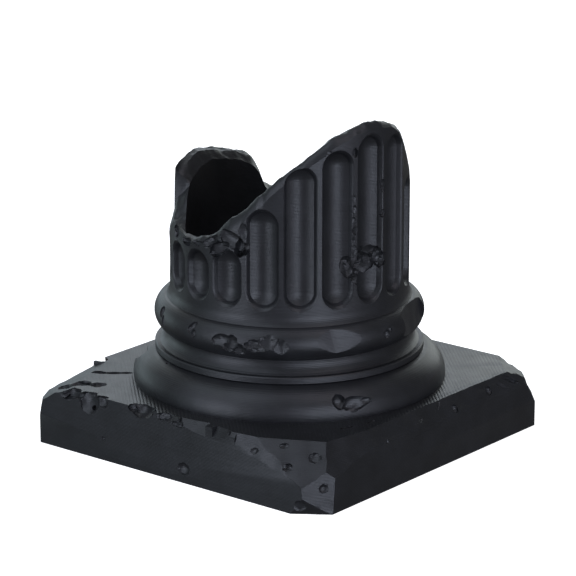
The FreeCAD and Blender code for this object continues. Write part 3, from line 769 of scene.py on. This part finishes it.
for first, second, third, width, height, lumps, seed in plinth["faces"]:
    middle, facing = planeThrough(first, second, third)
    cuts = plinth["longCuts"] if width > plinth["longFrom"] else plinth["cuts"]
    cutAway(plinthBlock, roughSlab(middle, facing, width, height, lumps, seed, cuts), False)
for middle, facing, width, height, seed in plinth["edgeFlats"]:
    chip = roughSlab(middle, facing, width, height, plinth["chipLumps"], seed, plinth["chipCuts"])
    cutAway(plinthBlock, chip, False)
print("plinth faces broken")
stones = []
for place, reach, facing, turn, rough, seed in plinth["bites"]:
    stones.append(stoneCutter(place, reach, facing, turn, rough, seed))
cutAway(plinthBlock, joinAll(stones, "stones"))
finishPiece(plinthBlock, "plinth", plinthPlastic, plinth["smooth"])
print("plinth done")


# floor, light and background
studio = {
    "floorSide": 6.0, "floorTone": 0.9, "floorRoughness": 0.9, "floorGlow": 0.95,
    "surround": 0.11, "backdrop": 1.0,
    # square softboxes: distance, side and the height that they look at, in metres
    "far": 0.9, "softbox": 0.42, "aim": 0.02,
    # of each: bearing from the camera's side, rise, red, green and blue brightness
    "lamps": [
        (-51, 2, 3.63, 3.92, 4.66), (-60, 28, 1.26, 1.34, 1.65), (25, 2, 4.39, 4.82, 5.81),
        (51, 2, 1.64, 1.68, 2.06), (-128, 2, 0.88, 1.11, 1.18), (-77, 2, 0.11, 0.21, 0.21),
        (0, 2, 0.29, 0.25, 0.36), (155, 14, 1.45, 1.57, 1.57), (-155, 14, 0.84, 1.02, 1.13),
        (180, 28, 1.6, 1.76, 1.92), (-150, 28, 0.24, 0.24, 0.22), (-90, 54, 0.91, 1.08, 1.2),
        (-45, 54, 1.2, 1.33, 1.53), (45, 54, 1.29, 1.25, 1.38), (-50, 70, 0.39, 0.41, 0.55),
        (50, 70, 0.75, 0.7, 0.85), (180, 70, 0.97, 1.01, 1.04),
    ],
}
deselectAll()
bpy.ops.mesh.primitive_plane_add(size=studio["floorSide"])
floor = bpy.context.object
floor.name = "floor"
floorPaint = bpy.data.materials.new("pale_floor")
floorPaint.use_nodes = True
paint = floorPaint.node_tree.nodes["Principled BSDF"]
paint.inputs["Base Color"].default_value = (studio["floorTone"], studio["floorTone"], studio["floorTone"], 1)
paint.inputs["Roughness"].default_value = studio["floorRoughness"]
paint.inputs["Emission Color"].default_value = (1, 1, 1, 1)
paint.inputs["Emission Strength"].default_value = studio["floorGlow"]
floor.data.materials.append(floorPaint)
floor.visible_glossy = False
floor.visible_diffuse = False
floor.visible_shadow = False

for number, (bearing, rise, red, green, blue) in enumerate(studio["lamps"]):
    heading = math.radians(view["swing"] - 90 + bearing)
    lift = math.radians(rise)
    direction = Vector((math.cos(heading) * math.cos(lift), math.sin(heading) * math.cos(lift), math.sin(lift)))
    place = direction * studio["far"]
    deselectAll()
    bpy.ops.object.light_add(type="AREA", location=place)
    lamp = bpy.context.object
    lamp.name = "softbox_" + str(number + 1)
    lamp.rotation_euler = (place - Vector((0, 0, studio["aim"]))).to_track_quat("Z", "Y").to_euler()
    bright = max(red, green, blue)
    lamp.data.size = studio["softbox"]
    lamp.data.energy = bright * math.pi * studio["softbox"] ** 2
    lamp.data.color = (red / bright, green / bright, blue / bright)
    lamp.visible_camera = False

world = bpy.data.worlds.new("studio")
bpy.context.scene.world = world
world.use_nodes = True
sky = world.node_tree.nodes["Background"]
sky.inputs["Color"].default_value = (1, 1, 1, 1)
lightPath = world.node_tree.nodes.new("ShaderNodeLightPath")
brightness = world.node_tree.nodes.new("ShaderNodeMapRange")
brightness.inputs["To Min"].default_value = studio["surround"]
brightness.inputs["To Max"].default_value = studio["backdrop"]
world.node_tree.links.new(lightPath.outputs["Is Camera Ray"], brightness.inputs[0])
world.node_tree.links.new(brightness.outputs[0], sky.inputs["Strength"])
bpy.context.scene.view_settings.view_transform = "Standard"
print("studio set")
